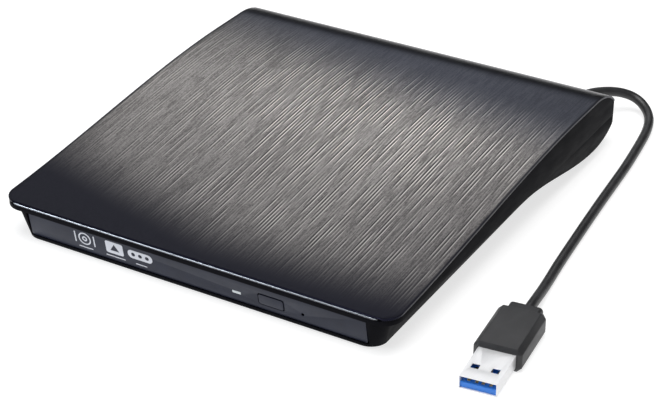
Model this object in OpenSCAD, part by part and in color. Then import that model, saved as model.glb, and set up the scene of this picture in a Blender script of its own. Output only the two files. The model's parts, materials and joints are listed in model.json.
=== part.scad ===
// Slim external disc drive on a USB cable, in millimetres.
// +X to the right, +Y to the back, +Z up; the origin is on the table under the middle of the case.

/* [Case] */
// Width over the top shell
case_w = 148.4; // [147.8:0.2:150]
// Depth from the front lip to the nose of the tail
case_d = 166.5; // [166:0.5:168]
// Height at the low end of the top plate's wave
front_h = 14.2; // [14:0.1:14.8]
// Height of the top plate over the tail
crest_h = 24.1; // [23.8:0.1:25]
// Corner radius of the case at the front, seen from above
front_corner_r = 7; // [5:0.5:9]
// Corner radius of the case at the back, seen from above
back_corner_r = 2.5; // [1.5:0.5:4]
// Thickness of the brushed top plate
panel_t = 0.8; // [0.7:0.1:0.9]
// Wall thickness of the moulded shells
shell_t = 1.6; // [1.4:0.1:1.8]
// Diameter of a rubber foot
foot_d = 10; // [8:0.5:11]

/* [Drive] */
// Width of the tray's front bezel, the slim drive standard
bezel_w = 128; // [127.6:0.2:128]
// Radius of the disc well in the tray
well_r = 60.6; // [60.4:0.1:60.8]
// Depth of the disc well
well_depth = 2.2; // [1.8:0.1:2.2]
// Width of the eject button
button_w = 9; // [8:0.2:10]
// Height of the eject button
button_h = 3.8; // [3:0.1:4]

/* [Mechanism] */
// Direction in which the lens travels outward, anticlockwise from +X
sled_angle = 135; // [134:0.5:136]
// Travel of the lens sled
sled_travel = 32; // [25:1:32]
// Radius of the hub that centres the disc
hub_r = 7.4; // [7.2:0.05:7.45]
// Radius of the turntable that the disc rests on
turntable_r = 13; // [12:0.5:13.5]
// Radius of a guide rod
rod_r = 1; // [0.8:0.1:1.1]

/* [Cable and plug] */
// Diameter of the USB cable
cable_d = 3.5; // [3:0.1:3.6]
// Width of the plug's moulded grip
grip_w = 15.6; // [14.6:0.2:17]
// Thickness of the plug's moulded grip
grip_h = 8; // [7:0.2:8]
// Length of the plug's moulded grip
grip_l = 24.5; // [20:0.5:28]

/* [Hidden] */
$fn = 48;

// Heights, from the table up
foot_z = 0.8;
floor_z = 2;
part_z = 11.8;

// Case outline, seen from above
half_w = case_w / 2;
front_y = -case_d / 2;
back_y = case_d / 2;
cover_half_w = half_w - 0.2;

// Side profile: a wave from the lip up to the crest, then a round nose and an under-slope
lip_r = 1;
wave_y0 = front_y - 13;
wave_y1 = 49;
wave_steps = 44;
nose_h = 11.3;
nose_d = 18.5;
nose_z = crest_h - nose_h;
nose_y = back_y - nose_d;
keel_z = 4.3;
keel_d = 18;
keel_y = back_y - keel_d;
keel_h = nose_z - keel_z;
keel_front_y = 7;
slope_steps = 16;
part_angle = asin((nose_z - part_z) / keel_h);
panel_end_angle = 25;

// Base block under the shell, its front leaning back towards the table
base_front_y = front_y + 1;
base_lean = 2.1;
base_back_y = 54;
base_top_w = 70.4;
base_foot_w = 67.8;

// Where the drive's own origin lies in the case
bay_y = front_y + 79.25;
bay_half_w = 64.5;
bay_back_y = bay_y + 53.6;
tail_y = bay_y + 54.6;

// Space under the top plate
cavity_y = -40;
cavity_steps = 24;
rib_xs = [-48, -24, 0, 24, 48];
rib_t = 1.2;
tail_ceiling = panel_t + 1.4;

// Points of the screws and feet
screw_xs = [-62, -36, 36, 62];
screw_y = 58;
screw_seat_z = 7;
foot_x = 52;
foot_ys = [-66, 46];
foot_h = 1.2;

// Cable exit, just under the parting line
exit_x = 57;
exit_z = 9.8;
relief_r = 2.7;
relief_inner_y = back_y - 12.85;
relief_flange_r = 3.4;

// From here to the mechanism, places are in the drive's own coordinates
// Drive box
drive_front_y = -72.2;
drive_back_y = 53;
pan_z = 2.1;
pan_t = 0.4;
lid_z = 11.1;
wall_x = 63.1;
wall_t = 0.5;
connector_x = [-14, 18];
connector_z = [7, 10];
lid_screw_x = 56;
lid_screw_y = drive_back_y - 1.5;

// Bridge board behind the drive
board_x = [-27, 31.5];
board_y = [54.8, 71.4];
board_z = [10.4, 11.4];
board_screw_xs = [-20, 12];
board_screw_y = 66;

// Tray
tray_half_w = 60;
rim_half_w = 62.8;
tray_front_y = -72.4;
tray_back_y = 49.5;
tray_bottom_z = 3.3;
rim_z = 10.5;
well_z = rim_z - well_depth;
tray_floor_t = 0.8;
tray_wall = 1.4;
hub_y = -10;
bezel_z = [2.2, 11.3];
bezel_front_y = -77.7;
bezel_lean = 10.7;
bezel_wall = 1;
bezel_face_t = 1.3;
button_x = 29.8;
button_z = 6.2;
flange_y = -74.8;
led_x = 17;
led_z = 5.7;
led_w = 3.3;
led_h = 1.1;
pinhole_x = 41.2;
pinhole_z = 5.3;
mark_xs = [-41.6, -29.7, -19.6];
mark_z = 7.5;
underline_z = 3.9;
underline_ws = [5.6, 7.6, 4.4];
ink_t = 0.05;

// Mechanism: u runs outward along the lens travel, v across it, both from the spindle axis
frame_u = [-17, 62];
frame_v = [-18, 20.7];
frame_z = [4.4, 7.2];
bar_u = [12.6, 14.4];
rod_v = [-13, 11];
rod_z = 5.6;
screw_v = 16.8;
lens_u = 23;
damper_uv = [[-10, -21.4], [50, -21.4], [-6, 24.1], [46, 24.1]];
latch_xy = [-40, -50];
hook_y = -61.2;
post_xy = [-37.6, -63.5];

// Cable route on the table, from the strain relief to the plug
cable_route = [
  [57, 91, 9.8], [57.2, 94, 9.8], [58.6, 97.2, 9.7], [61, 100.6, 9.4], [63.8, 104.1, 8.7],
  [66.9, 107.1, 7.6], [70.1, 109, 6.2], [73.3, 109, 4.8], [76.2, 107.4, 3.5], [78.5, 104.8, 2.6],
  [80.3, 101.3, 2.1], [81.7, 96.9, 1.8], [82.9, 91.8, 1.8], [84, 85.2, 1.8], [85.3, 76.1, 1.8],
  [86.7, 65, 1.8], [87.9, 52.8, 1.8], [89.5, 35.7, 1.8], [91.7, 14.8, 1.8], [94, -5.8, 1.8],
  [95.5, -17.1, 1.8], [96.7, -25.1, 2.3], [97.8, -32.2, 3.2], [98.6, -37.6, 3.8], [99.2, -42.6, 4]
];
plug_angle = 6.5;
plug_z = 4;
neck_l = 2.2;
neck_w = 11;
neck_h = 6.4;
grip_front_y = -neck_l - grip_l;
shell_w = 12;
shell_h = 4.5;
shell_wall = 0.3;
shell_grip_l = 5;
shell_back_y = grip_front_y + shell_grip_l;
shell_mouth_y = grip_front_y - 16.5;
tongue_t = 1.9;
tongue_z = plug_z - shell_h / 2 + shell_wall + tongue_t;

// ---------- shared shapes ----------

function smooth(t) = t <= 0 ? 0 : t >= 1 ? 1 : t * t * (3 - 2 * t);
function wave_z(y) = front_h + (crest_h - front_h) * smooth((y - wave_y0) / (wave_y1 - wave_y0));
function arc(c, rx, ry, a0, a1, n) =
  [for (i = [0:n]) let (a = a0 + (a1 - a0) * i / n) [c[0] + rx * cos(a), c[1] + ry * sin(a)]];

// Top line from the lip to a given angle on the nose, as [y, z]
function top_line(nose_end) = concat(
  arc([front_y + lip_r, wave_z(front_y + lip_r) - lip_r], lip_r, lip_r, 180, 90, 6),
  [for (i = [1:wave_steps - 1])
    let (y = front_y + lip_r + (wave_y1 - front_y - lip_r) * i / wave_steps) [y, wave_z(y)]],
  [[wave_y1, crest_h]],
  arc([nose_y, nose_z], nose_d, nose_h, 90, nose_end, 14)
);

// A line moved inward by d, square to itself
function unit(v) = v / norm(v);
function inward(p, d) = [
  for (i = [0:len(p) - 1])
    let (t = unit(p[min(i + 1, len(p) - 1)] - p[max(i - 1, 0)])) p[i] + d * [t[1], -t[0]]
];
function reversed(p) = [for (i = [len(p) - 1:-1:0]) p[i]];

// Extrudes a [y, z] outline along X, centred
module along_x(half) {
  translate([-half, 0, 0])
    rotate([90, 0, 90])
      linear_extrude(2 * half) children();
}

// Box from its low corner to its high corner
module block(low, high) {
  translate(low) cube(high - low);
}

// Plan with front corner radius rf and back corner radius rb
module plan(half, y0, y1, rf, rb) {
  translate([-half, y0 + rf]) square([2 * half, y1 - y0 - rf - rb]);
  translate([-half + rf, y0]) square([2 * (half - rf), rf]);
  translate([-half + rb, y1 - rb]) square([2 * (half - rb), rb]);
  for (s = [-1, 1]) {
    translate([s * (half - rf), y0 + rf]) circle(rf);
    translate([s * (half - rb), y1 - rb]) circle(rb);
  }
}

// Rounded rectangle prism along Z, centred in plan
module pill(w, d, r, h) {
  linear_extrude(h) {
    square([w - 2 * r, d], center = true);
    square([w, d - 2 * r], center = true);
    for (sx = [-1, 1], sy = [-1, 1])
      translate([sx * (w / 2 - r), sy * (d / 2 - r)]) circle(r);
  }
}

// Rounded rectangle prism standing on the XZ plane and running from y0 to y1
module pill_y(x, z, w, h, r, y0, y1) {
  translate([x, y1, z]) rotate([90, 0, 0]) pill(w, h, r, y1 - y0);
}

// Cylinder along Y from y0 to y1
module rod_y(x, z, r, y0, y1) {
  translate([x, y0, z]) rotate([-90, 0, 0]) cylinder(r = r, h = y1 - y0);
}

// Places its children in the drive's own coordinates
module in_bay() {
  translate([0, bay_y, 0]) children();
}

// Places its children in the mechanism's own directions, inside the drive
module at_mechanism() {
  translate([0, hub_y, 0]) rotate([0, 0, sled_angle]) children();
}

// Cylinder along u from u0 to u1
module rod_u(v, z, r, u0, u1) {
  translate([u0, v, z]) rotate([0, 90, 0]) cylinder(r = r, h = u1 - u0);
}

// Pan-head screw pointing up, its head resting at z
module screw_up(x, y, z, head_r, head_h, r, l) {
  translate([x, y, z]) {
    difference() {
      translate([0, 0, -head_h]) cylinder(r = head_r, h = head_h);
      for (a = [0, 90])
        rotate([0, 0, a])
          translate([-head_r * 0.55, -head_r * 0.14, -head_h - 1])
            cube([head_r * 1.1, head_r * 0.28, 1 + head_h * 0.5]);
    }
    cylinder(r = r, h = l);
  }
}

// ---------- case ----------

module outer_profile() {
  polygon(concat(
    [[front_y, part_z]],
    top_line(panel_end_angle),
    arc([nose_y, nose_z], nose_d, nose_h, panel_end_angle - 5, 0, 4),
    arc([keel_y, nose_z], keel_d, keel_h, -part_angle / 2, -part_angle, 1)
  ));
}

module panel_profile() {
  line = top_line(panel_end_angle);
  polygon(concat(line, reversed(inward(line, panel_t))));
}

module case_plan(half) {
  plan(half, front_y, back_y, front_corner_r, back_corner_r);
}

module top_panel() {
  color("dimgray")
    intersection() {
      along_x(half_w) panel_profile();
      linear_extrude(2 * crest_h) case_plan(half_w);
    }
}

// Space inside the top cover, under its ceiling
module cover_cavity() {
  roof = [
    for (i = [0:cavity_steps])
      let (y = cavity_y + (nose_y - cavity_y) * i / cavity_steps) [y, wave_z(y) - tail_ceiling]
  ];
  along_x(cover_half_w - shell_t)
    polygon(concat(
      [[cavity_y, part_z - 1]],
      roof,
      arc([nose_y, nose_z], nose_d - panel_t - shell_t, nose_h - tail_ceiling, 75, 0, 6),
      [[back_y - panel_t - shell_t, part_z - 1]]
    ));
}

// Screw bosses, stiffening ribs over the drive and the wall behind it
module cover_bosses() {
  for (x = screw_xs)
    translate([x, screw_y, part_z + 0.05]) cylinder(r = 2.8, h = crest_h - part_z);
  for (x = rib_xs)
    block([x - rib_t / 2, cavity_y + 4, part_z + 0.1], [x + rib_t / 2, 50, crest_h]);
  block([-base_top_w, 50, part_z + 0.1], [base_top_w, 50 + rib_t, crest_h]);
}

module top_cover() {
  color("#1c1c1e")
    difference() {
      intersection() {
        along_x(cover_half_w) outer_profile();
        linear_extrude(2 * crest_h) case_plan(cover_half_w);
      }
      difference() {
        cover_cavity();
        cover_bosses();
      }
      along_x(half_w + 1) panel_profile();
      for (x = screw_xs)
        translate([x, screw_y, part_z - 1]) cylinder(r = 1, h = 5.5);
      relief_hole();
    }
}

// Hole for the strain relief, shared by the two shells
module relief_hole() {
  rod_y(exit_x, exit_z, relief_r + 0.1, relief_inner_y, back_y + 1);
}

// Lower outline of the tail: a long slope down to the keel, then its round back, [y, z]
function tail_profile() = concat(
  [[keel_front_y, part_z]],
  [for (i = [1:slope_steps - 1])
    let (y = keel_front_y + (keel_y - keel_front_y) * i / slope_steps)
      [y, keel_z + (part_z - keel_z) * smooth((keel_y - y) / (keel_y - keel_front_y))]],
  arc([keel_y, nose_z], keel_d, keel_h, -90, -part_angle, 14)
);

// Thin slice of the base block, narrowing from half width w0 at the front to w1 at the back
module base_slice(w0, w1, y0, y1, z) {
  translate([0, 0, z])
    linear_extrude(0.01)
      intersection() {
        plan(w0, y0, y1, 6, 1.5);
        polygon([[-w0, y0], [w0, y0], [w1, y1], [-w1, y1]]);
      }
}

module base_block() {
  hull() {
    base_slice(base_foot_w, base_foot_w - 2.2, base_front_y + base_lean, base_back_y - 2, foot_z);
    base_slice(base_top_w, base_top_w - 0.2, base_front_y, base_back_y, part_z - 0.01);
  }
}

module tail_cavity() {
  along_x(cover_half_w - shell_t)
    polygon(concat(
      [[tail_y, part_z + 1], [tail_y, keel_z + shell_t + 1.2]],
      arc([keel_y, nose_z], keel_d - shell_t, keel_h - shell_t, -90, 0, 12)
    ));
}

module bottom_case() {
  board_boss_y = bay_y + board_screw_y;
  color("#1a1a1c")
    difference() {
      union() {
        difference() {
          union() {
            base_block();
            intersection() {
              along_x(cover_half_w) polygon(tail_profile());
              linear_extrude(2 * crest_h) case_plan(cover_half_w);
            }
          }
          // Bay for the drive, and the way through its back wall for the socket
          block([-bay_half_w, front_y - 10, floor_z], [bay_half_w, bay_back_y, 20]);
          block([-30, bay_back_y - 1, 6.7], [34, tail_y + 1, 20]);
          tail_cavity();
        }
        for (x = screw_xs)
          translate([x, screw_y, keel_z + 0.8]) cylinder(r = 3, h = part_z - keel_z - 0.85);
        for (x = board_screw_xs)
          translate([x, board_boss_y, keel_z + 0.8]) cylinder(r = 2.2, h = board_z[0] - keel_z - 0.8);
      }
      for (x = screw_xs)
        translate([x, screw_y, 0]) {
          cylinder(r = 1.15, h = 20);
          cylinder(r = 2.2, h = screw_seat_z);
        }
      for (x = board_screw_xs)
        translate([x, board_boss_y, 7.2]) cylinder(r = 0.8, h = 10);
      for (s = [-1, 1], y = foot_ys)
        translate([s * foot_x, y, 0]) cylinder(d = foot_d + 0.2, h = foot_h);
      relief_hole();
    }
}

module rubber_feet() {
  color("#2a2a2a")
    for (s = [-1, 1], y = foot_ys)
      translate([s * foot_x, y, 0])
        rotate_extrude()
          polygon([
            [0, 0], [foot_d / 2 - 0.4, 0], [foot_d / 2, 0.3], [foot_d / 2, foot_h], [0, foot_h]
          ]);
}

module case_screws() {
  color("silver")
    for (x = screw_xs)
      screw_up(x, screw_y, screw_seat_z, 2, 1.2, 0.97, 8);
}

// ---------- fixed half of the drive ----------

module drive_chassis() {
  color("silver") in_bay()
    difference() {
      union() {
        block([-wall_x - wall_t, drive_front_y, pan_z], [wall_x + wall_t, drive_back_y, pan_z + pan_t]);
        for (s = [-1, 1])
          translate([s * (wall_x + wall_t / 2) - wall_t / 2, drive_front_y, pan_z])
            cube([wall_t, drive_back_y - drive_front_y, lid_z - pan_z]);
        block([-wall_x, drive_back_y - wall_t, pan_z], [wall_x, drive_back_y, lid_z]);
        // Screw tabs for the lid
        for (s = [-1, 1])
          block([s * lid_screw_x - 3, drive_back_y - 3, lid_z - 1.2],
                [s * lid_screw_x + 3, drive_back_y, lid_z]);
        translate([post_xy[0], post_xy[1], pan_z]) cylinder(r = 1.2, h = 0.8);
      }
      block([connector_x[0] - 0.2, drive_back_y - 2, connector_z[0] - 0.2],
            [connector_x[1] + 0.2, drive_back_y + 1, connector_z[1] + 0.2]);
      for (s = [-1, 1])
        translate([s * lid_screw_x, lid_screw_y, 0]) cylinder(r = 0.6, h = 20);
      // Lightening slots in the pan
      for (x = [-40, 40])
        translate([x, 20, 0]) pill(24, 40, 4, 5);
    }
}

module drive_lid() {
  edge = 64;
  color("gainsboro") in_bay()
    difference() {
      union() {
        block([-edge, drive_front_y, lid_z], [edge, drive_back_y + 0.3, lid_z + 0.4]);
        for (s = [-1, 1])
          translate([s * (edge - 0.15) - 0.15, drive_front_y, 6])
            cube([0.3, drive_back_y - drive_front_y, lid_z - 6 + 0.2]);
      }
      for (s = [-1, 1])
        translate([s * lid_screw_x, lid_screw_y, 0]) cylinder(r = 0.7, h = 20);
    }
}

module lid_screws() {
  color("silver") in_bay()
    for (s = [-1, 1])
      translate([s * lid_screw_x, lid_screw_y, 0]) {
        translate([0, 0, lid_z - 1.4]) cylinder(r = 0.58, h = 1.8);
        translate([0, 0, lid_z + 0.4]) cylinder(r = 1.2, h = 0.2);
      }
}

module chassis_rails() {
  color("darkgray") in_bay()
    for (s = [-1, 1])
      scale([s, 1, 1])
        translate([0, -71.5, 0])
          difference() {
            block([61.6, 0, 3.4], [wall_x, 121, 7.8]);
            block([61, -1, 3.8], [wall_x - 0.3, 122, 7.4]);
          }
}

module slide_rail(s) {
  color("silver") in_bay()
    scale([s, 1, 1])
      difference() {
        block([60.6, -71.4, 4.1], [62.6, 44, 7.1]);
        block([60, -72, 4.7], [62.1, 45, 6.5]);
      }
}

module slide_rail_left() {
  slide_rail(-1);
}

module slide_rail_right() {
  slide_rail(1);
}

module drive_connector() {
  color("#2b2b30") in_bay()
    difference() {
      union() {
        block([connector_x[0], 50.4, connector_z[0]], [connector_x[1], 53.4, connector_z[1]]);
        block([connector_x[0] - 3, 50.4, connector_z[0]], [connector_x[0], drive_back_y - wall_t, 9.5]);
        block([connector_x[1], 50.4, connector_z[0]], [connector_x[1] + 3, drive_back_y - wall_t, 9.5]);
      }
      block([connector_x[0] + 1.5, 51, 8], [connector_x[1] - 1.5, 54, 9]);
    }
}

module bridge_board() {
  color("darkgreen") in_bay()
    difference() {
      block([board_x[0], board_y[0], board_z[0]], [board_x[1], board_y[1], board_z[1]]);
      for (x = board_screw_xs)
        translate([x, board_screw_y, 0]) cylinder(r = 1, h = 20);
    }
}

module bridge_chip() {
  color("#202020") in_bay() {
    block([-6, 58.5, board_z[1]], [2, 66.5, board_z[1] + 1.1]);
    // Legs down both sides
    for (i = [0:7], s = [-1, 1])
      translate([-2 + s * 4.4, 59.6 + i * 0.85, board_z[1]])
        translate([-0.4, -0.15, 0]) cube([0.8, 0.3, 0.3]);
  }
}

module bridge_parts() {
  // Crystal, ceramic capacitors and one tall capacitor
  color("silver") in_bay() translate([9, 60, board_z[1]]) pill(10, 4, 1.9, 3);
  color("tan") in_bay()
    for (x = [-16, -12, 18, 26])
      translate([x - 0.8, 58.5, board_z[1]]) cube([1.6, 0.9, 0.8]);
  color("#303030") in_bay() translate([22, 63.5, board_z[1]]) cylinder(r = 2, h = 4.5);
}

module sata_socket() {
  color("#26262a") in_bay() {
    block([connector_x[0], board_y[0], 7.2], [connector_x[1], 58, board_z[0]]);
    block([connector_x[0] + 1.8, 52, 8.1], [connector_x[1] - 1.8, board_y[0], 8.9]);
  }
}

module board_screws() {
  color("silver") in_bay()
    for (x = board_screw_xs)
      translate([x, board_screw_y, board_z[1]]) {
        translate([0, 0, -4]) cylinder(r = 0.78, h = 4);
        cylinder(r = 1.7, h = 1);
      }
}

// Four leads that leave the strain relief, turn left and end on the bridge board
module cable_leads() {
  colors = ["red", "white", "green", "black"];
  r = 0.4;
  z = board_z[1] + r + 0.02;
  for (i = [0:3]) {
    x = exit_x - 1.5 + i;
    y = 66.6 - 1.1 * i;
    color(colors[i])
      tube([[x, relief_inner_y, z], [x, y + 0.8, z], [x - 0.8, y, z], [28.5, y, z]],
           r, [0, -1, 0], [-1, 0, 0]);
  }
}

// Flat cable from the tray's board to the back of the drive, folded under the tray
module flex_ribbon() {
  color("peru") in_bay() {
    block([-10, -36, 2.6], [10, 50, 2.75]);
    block([-10, 49.85, 2.75], [10, 50, 7.6]);
    block([-10, 50, 7.45], [10, 50.4, 7.6]);
  }
}

// ---------- cable and plug ----------

module cable_strain_relief() {
  tip_y = cable_route[0][1];
  groove_ys = [back_y + 2.4, back_y + 4.8];
  collar_r = relief_r + 0.7;
  color("#222224")
    translate([exit_x, 0, exit_z])
      rotate([-90, 0, 0])
        difference() {
          rotate_extrude()
            polygon([
              [0, relief_inner_y], [relief_flange_r, relief_inner_y],
              [relief_flange_r, relief_inner_y + 0.8], [relief_r, relief_inner_y + 0.8],
              [relief_r, back_y + 0.1], [collar_r, back_y + 0.1], [collar_r, back_y + 1],
              [collar_r - 0.4, back_y + 1.4], [2.2, tip_y], [0, tip_y]
            ]);
          for (y = groove_ys)
            translate([0, 0, y])
              rotate_extrude()
                polygon([[2, 0], [6, 0], [6, 0.9], [2, 0.9]]);
        }
}

// Round tube with eight sides along a route, its ends square to the given directions
module tube(route, r, start_dir, end_dir) {
  sides = 8;
  n = len(route);
  function dir(i) = i == 0 ? start_dir : i == n - 1 ? end_dir : unit(route[i + 1] - route[i - 1]);
  function ring(i) =
    let (t = dir(i), side = unit(cross(t, [0, 0, 1])), up = cross(side, t))
      [for (k = [0:sides - 1]) route[i] + r * (cos(360 * k / sides) * side + sin(360 * k / sides) * up)];
  points = [for (i = [0:n - 1]) each ring(i)];
  walls = [for (i = [0:n - 2], k = [0:sides - 1])
    let (a = i * sides + k, b = i * sides + (k + 1) % sides)
      each [[a, a + sides, b], [b, a + sides, b + sides]]];
  ends = [[for (k = [0:sides - 1]) k], [for (k = [sides - 1:-1:0]) (n - 1) * sides + k]];
  polyhedron(points, concat(walls, ends));
}

module usb_cable() {
  color("#2c2c2e")
    tube(cable_route, cable_d / 2, [0, 1, 0], [sin(plug_angle), -cos(plug_angle), 0]);
}

// Places its children with the plug's neck at the origin and its mouth towards -Y
module at_plug() {
  end = cable_route[len(cable_route) - 1];
  translate([end[0], end[1], 0]) rotate([0, 0, plug_angle]) children();
}

module plug_overmold() {
  bevel = 1.3;
  shoulder_y = grip_front_y + 0.8;
  heel_y = -neck_l - 2;
  color("#1e1e20")
    at_plug()
      difference() {
        union() {
          hull() {
            pill_y(0, plug_z, grip_w, grip_h - 2 * bevel, 0.6, shoulder_y, heel_y);
            pill_y(0, plug_z, grip_w - 2 * bevel, grip_h, 0.6, shoulder_y, heel_y);
            pill_y(0, plug_z, grip_w - 2 * bevel, grip_h - 2 * bevel, 0.6, grip_front_y, -neck_l);
          }
          // Flat step where the cable enters
          pill_y(0, plug_z, neck_w, neck_h, 1.4, heel_y, 0);
        }
        // Pocket that holds the back of the metal shell
        block([-shell_w / 2, grip_front_y - 1, plug_z - shell_h / 2],
              [shell_w / 2, shell_back_y, plug_z + shell_h / 2]);
      }
}

module plug_shell() {
  color("silver")
    at_plug()
      difference() {
        block([-shell_w / 2, shell_mouth_y, plug_z - shell_h / 2],
              [shell_w / 2, shell_back_y, plug_z + shell_h / 2]);
        block([-shell_w / 2 + shell_wall, shell_mouth_y - 1, plug_z - shell_h / 2 + shell_wall],
              [shell_w / 2 - shell_wall, shell_back_y + 1, plug_z + shell_h / 2 - shell_wall]);
        // Latch windows, two on each face
        for (x = [-3.2, 3.2])
          block([x - 1.2, shell_mouth_y + 5.2, 0], [x + 1.2, shell_mouth_y + 7.6, 10]);
      }
}

module plug_tongue() {
  inner_w = shell_w - 2 * shell_wall;
  color("royalblue")
    at_plug() {
      block([-inner_w / 2, shell_mouth_y + 0.4, tongue_z - tongue_t],
            [inner_w / 2, shell_back_y, tongue_z]);
      block([-inner_w / 2, shell_back_y - 6, tongue_z], [inner_w / 2, shell_back_y, tongue_z + 2]);
    }
}

module plug_contacts() {
  color("gold")
    at_plug()
      for (x = [-3.5, -1, 1, 3.5])
        translate([x - 0.5, shell_mouth_y + 1.5, tongue_z]) cube([1, 8, 0.1]);
}

// ---------- tray ----------

// Outline of the opening in the tray's floor, in the mechanism's directions
module window_plan(gap) {
  translate([22, 1]) square([80 + 2 * gap, 30 + 2 * gap], center = true);
  circle(17.5 + gap);
}

module tray() {
  color("#2e2e30") in_bay()
    difference() {
      union() {
        difference() {
          block([-tray_half_w, tray_front_y, tray_bottom_z], [tray_half_w, tray_back_y, well_z]);
          block([-tray_half_w + tray_wall, tray_front_y + tray_wall, 0],
                [tray_half_w - tray_wall, tray_back_y - tray_wall, well_z - tray_floor_t]);
        }
        translate([0, 0, well_z])
          linear_extrude(rim_z - well_z) plan(rim_half_w, tray_front_y, tray_back_y, 1, 4);
        // Ribs that run in the slide rails
        for (s = [-1, 1])
          translate([s * 60.8 - 0.9, -71, 4.95]) cube([1.8, tray_back_y + 71, 1.3]);
        // Bosses for the mechanism's rubber mounts and for the latch
        at_mechanism()
          for (p = damper_uv)
            translate([p[0], p[1], 7]) cylinder(r = 2, h = 0.6);
        translate([latch_xy[0], latch_xy[1], 4.6]) cylinder(r = 1, h = 3);
      }
      translate([0, hub_y, well_z]) cylinder(r = well_r, h = 10, $fn = 180);
      at_mechanism()
        translate([0, 0, 5]) linear_extrude(well_z - 4.5) window_plan(0);
      at_mechanism()
        for (p = damper_uv)
          translate([p[0], p[1], 0]) cylinder(r = 0.8, h = 8);
      // Ways through the front wall for the button's stem and the light
      block([button_x - 1.5, tray_front_y - 1, 4.9], [button_x + 1.5, tray_front_y + 3, 7.1]);
      block([led_x - 1.8, tray_front_y - 1, led_z - 0.8], [led_x + 1.8, tray_front_y + 3, led_z + 0.8]);
      rod_y(pinhole_x, pinhole_z, 0.7, tray_front_y - 1, tray_front_y + 3);
    }
}

// Where the bezel's leaning face lies at height z
function face_y(z) = bezel_front_y + (bezel_z[1] - z) * tan(bezel_lean);

// Everything behind the bezel's face, moved back by d
module behind_face(d) {
  back = tray_front_y + 10;
  top = 2 * bezel_z[1];
  along_x(bezel_w)
    polygon([[face_y(0) + d, 0], [back, 0], [back, top], [face_y(top) + d, top]]);
}

module front_bezel() {
  mid_z = (bezel_z[0] + bezel_z[1]) / 2;
  color("#3a3a44") in_bay()
    difference() {
      intersection() {
        pill_y(0, mid_z, bezel_w, bezel_z[1] - bezel_z[0], 0.6, bezel_front_y - 1, tray_front_y);
        behind_face(0);
      }
      intersection() {
        block([-bezel_w / 2 + bezel_wall, bezel_front_y - 1, bezel_z[0] + bezel_wall],
              [bezel_w / 2 - bezel_wall, tray_front_y + 1, bezel_z[1] - bezel_wall]);
        behind_face(bezel_face_t);
      }
      pill_y(button_x, button_z, button_w + 0.7, button_h + 0.7, 0.9, bezel_front_y - 2, flange_y);
      block([led_x - led_w / 2, bezel_front_y - 2, led_z - led_h / 2],
            [led_x + led_w / 2, tray_front_y, led_z + led_h / 2]);
      rod_y(pinhole_x, pinhole_z, 0.6, bezel_front_y - 2, tray_front_y);
    }
}

module led_window() {
  color("lightcyan") in_bay()
    intersection() {
      block([led_x - led_w / 2 + 0.05, bezel_front_y - 2, led_z - led_h / 2 + 0.05],
            [led_x + led_w / 2 - 0.05, -70.2, led_z + led_h / 2 - 0.05]);
      behind_face(-0.05);
    }
}

// Plain ring of ink
module ink_ring(r, w) {
  difference() {
    cylinder(r = r, h = ink_t);
    translate([0, 0, -1]) cylinder(r = r - w, h = 3);
  }
}

// Plain printed marks on the bezel: a disc, a badge with an arrow, and a capsule with three dots
module printed_marks() {
  // Heights on the leaning face, measured down from its top edge
  mark_y = (mark_z - bezel_z[1]) / cos(bezel_lean);
  underline_y = (underline_z - bezel_z[1]) / cos(bezel_lean);
  color("lightgray") in_bay()
    translate([0, bezel_front_y, bezel_z[1]])
      rotate([90 + bezel_lean, 0, 0]) {
        translate([mark_xs[0], mark_y, 0]) {
          ink_ring(2.5, 0.5);
          ink_ring(1, 0.5);
          for (s = [-1, 1])
            translate([s * 3.8, 0, 0]) pill(0.5, 4.4, 0.2, ink_t);
        }
        translate([mark_xs[1], mark_y, 0])
          difference() {
            pill(6.9, 4.9, 0.7, ink_t);
            translate([0, 0, -1]) linear_extrude(3) polygon([[-1.8, -1.2], [1.8, -1.2], [0, 1.5]]);
          }
        translate([mark_xs[2], mark_y, 0])
          difference() {
            pill(9.6, 3.4, 1.6, ink_t);
            for (x = [-2.7, 0, 2.7])
              translate([x, 0, -1]) cylinder(r = 0.75, h = 3);
          }
        for (i = [0:2])
          translate([mark_xs[i], underline_y, 0]) pill(underline_ws[i], 0.4, 0.15, ink_t);
      }
}

module tray_bottom_cover() {
  color("gainsboro") in_bay()
    difference() {
      block([-59.5, -71.8, 3], [59.5, 49, tray_bottom_z]);
      translate([latch_xy[0] + 0.8, hook_y, 0]) pill(5.6, 4.6, 1, 5);
      at_mechanism()
        for (p = damper_uv)
          translate([p[0], p[1], 0]) cylinder(r = 2.4, h = 5);
      for (x = [-30:15:45])
        translate([x, 41, 0]) pill(8, 3, 1.4, 5);
    }
}

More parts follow.
